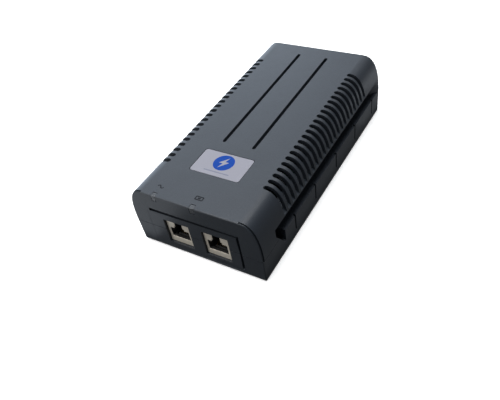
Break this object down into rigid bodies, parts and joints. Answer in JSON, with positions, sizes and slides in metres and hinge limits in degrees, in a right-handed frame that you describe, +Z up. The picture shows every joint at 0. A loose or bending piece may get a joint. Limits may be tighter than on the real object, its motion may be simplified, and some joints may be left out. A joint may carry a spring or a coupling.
{
  "type": "poe injector",
  "caption": "Power-over-Ethernet injector: an arched casing with cooling slots and side channels, shielded data jacks in front and a mains inlet behind.",
  "frame": {"origin": "on the plane that the feet rest on, under the middle of the casing", "axes": "+Z up; -Y the way the data jacks face; +X to the right seen from the jacks"},
  "size_m": [0.0844, 0.163, 0.0418],
  "materials": {
    "casing": "fine matt texture, charcoal",
    "label": "satin silver print",
    "rating": "matt silver film",
    "acrylic": "smoky clear",
    "lamp": "clear lens",
    "inlet_plastic": "semi-gloss",
    "tinned_brass": "tinned",
    "board": "solder mask",
    "sheet": "satin film",
    "ferrite": "matt",
    "yellow_tape": "satin tape",
    "copper_wire": "enamelled",
    "capacitor_sleeve": "shrink sleeve",
    "black_moulding": "matt epoxy",
    "aluminium": "black anodised",
    "yellow_plastic": "semi-gloss",
    "blue_coating": "lacquered",
    "white_moulding": "matt",
    "ceramic": "glazed",
    "jack_shield": "nickel plated",
    "jack_plastic": "matt",
    "gold_wire": "gold plated",
    "screw_steel": "black zinc",
    "foot_rubber": "matt"
  },
  "bodies": {
    "injector": {"top_cover": "casing", "bottom_tray": "casing", "label_plate": "label", "rating_plate": "rating", "left_light_pipe": "acrylic", "right_light_pipe": "acrylic", "left_lamp": "lamp", "right_lamp": "lamp", "inlet_housing": "inlet_plastic", "line_pin": "tinned_brass", "neutral_pin": "tinned_brass", "earth_pin": "tinned_brass", "main_board": "board", "insulation_sheet": "sheet", "transformer_core": "ferrite", "transformer_winding": "yellow_tape", "choke_core": "ferrite", "choke_winding": "copper_wire", "bulk_capacitor": "capacitor_sleeve", "left_output_capacitor": "capacitor_sleeve", "right_output_capacitor": "capacitor_sleeve", "output_choke": "copper_wire", "power_controller": "black_moulding", "output_heatsink": "aluminium", "primary_heatsink": "aluminium", "output_diode": "black_moulding", "switching_transistor": "black_moulding", "bridge_rectifier": "black_moulding", "mains_filter_capacitor": "yellow_plastic", "safety_capacitor": "blue_coating", "surge_varistor": "blue_coating", "optocoupler": "white_moulding", "mains_fuse": "ceramic", "left_jack_shield": "jack_shield", "left_jack_body": "jack_plastic", "left_line_magnetics": "black_moulding", "right_jack_shield": "jack_shield", "right_jack_body": "jack_plastic", "right_line_magnetics": "black_moulding", "front_left_screw": "screw_steel", "front_left_foot": "foot_rubber", "front_right_screw": "screw_steel", "front_right_foot": "foot_rubber", "rear_left_screw": "screw_steel", "rear_left_foot": "foot_rubber", "rear_right_screw": "screw_steel", "rear_right_foot": "foot_rubber"},
    "left_contacts": {"left_jack_contacts": "gold_wire"},
    "right_contacts": {"right_jack_contacts": "gold_wire"}
  },
  "joints": [
    {"name": "left_contacts_flex", "type": "hinge", "parent": "injector", "child": "left_contacts", "pos_m": [-0.01265, -0.0768, 0.0103], "axis": [-1, 0, 0], "range_deg": [0, 11], "stiffness_Nm_per_rad": 0.05},
    {"name": "right_contacts_flex", "type": "hinge", "parent": "injector", "child": "right_contacts", "pos_m": [0.01265, -0.0768, 0.0103], "axis": [-1, 0, 0], "range_deg": [0, 11], "stiffness_Nm_per_rad": 0.05}
  ]
}
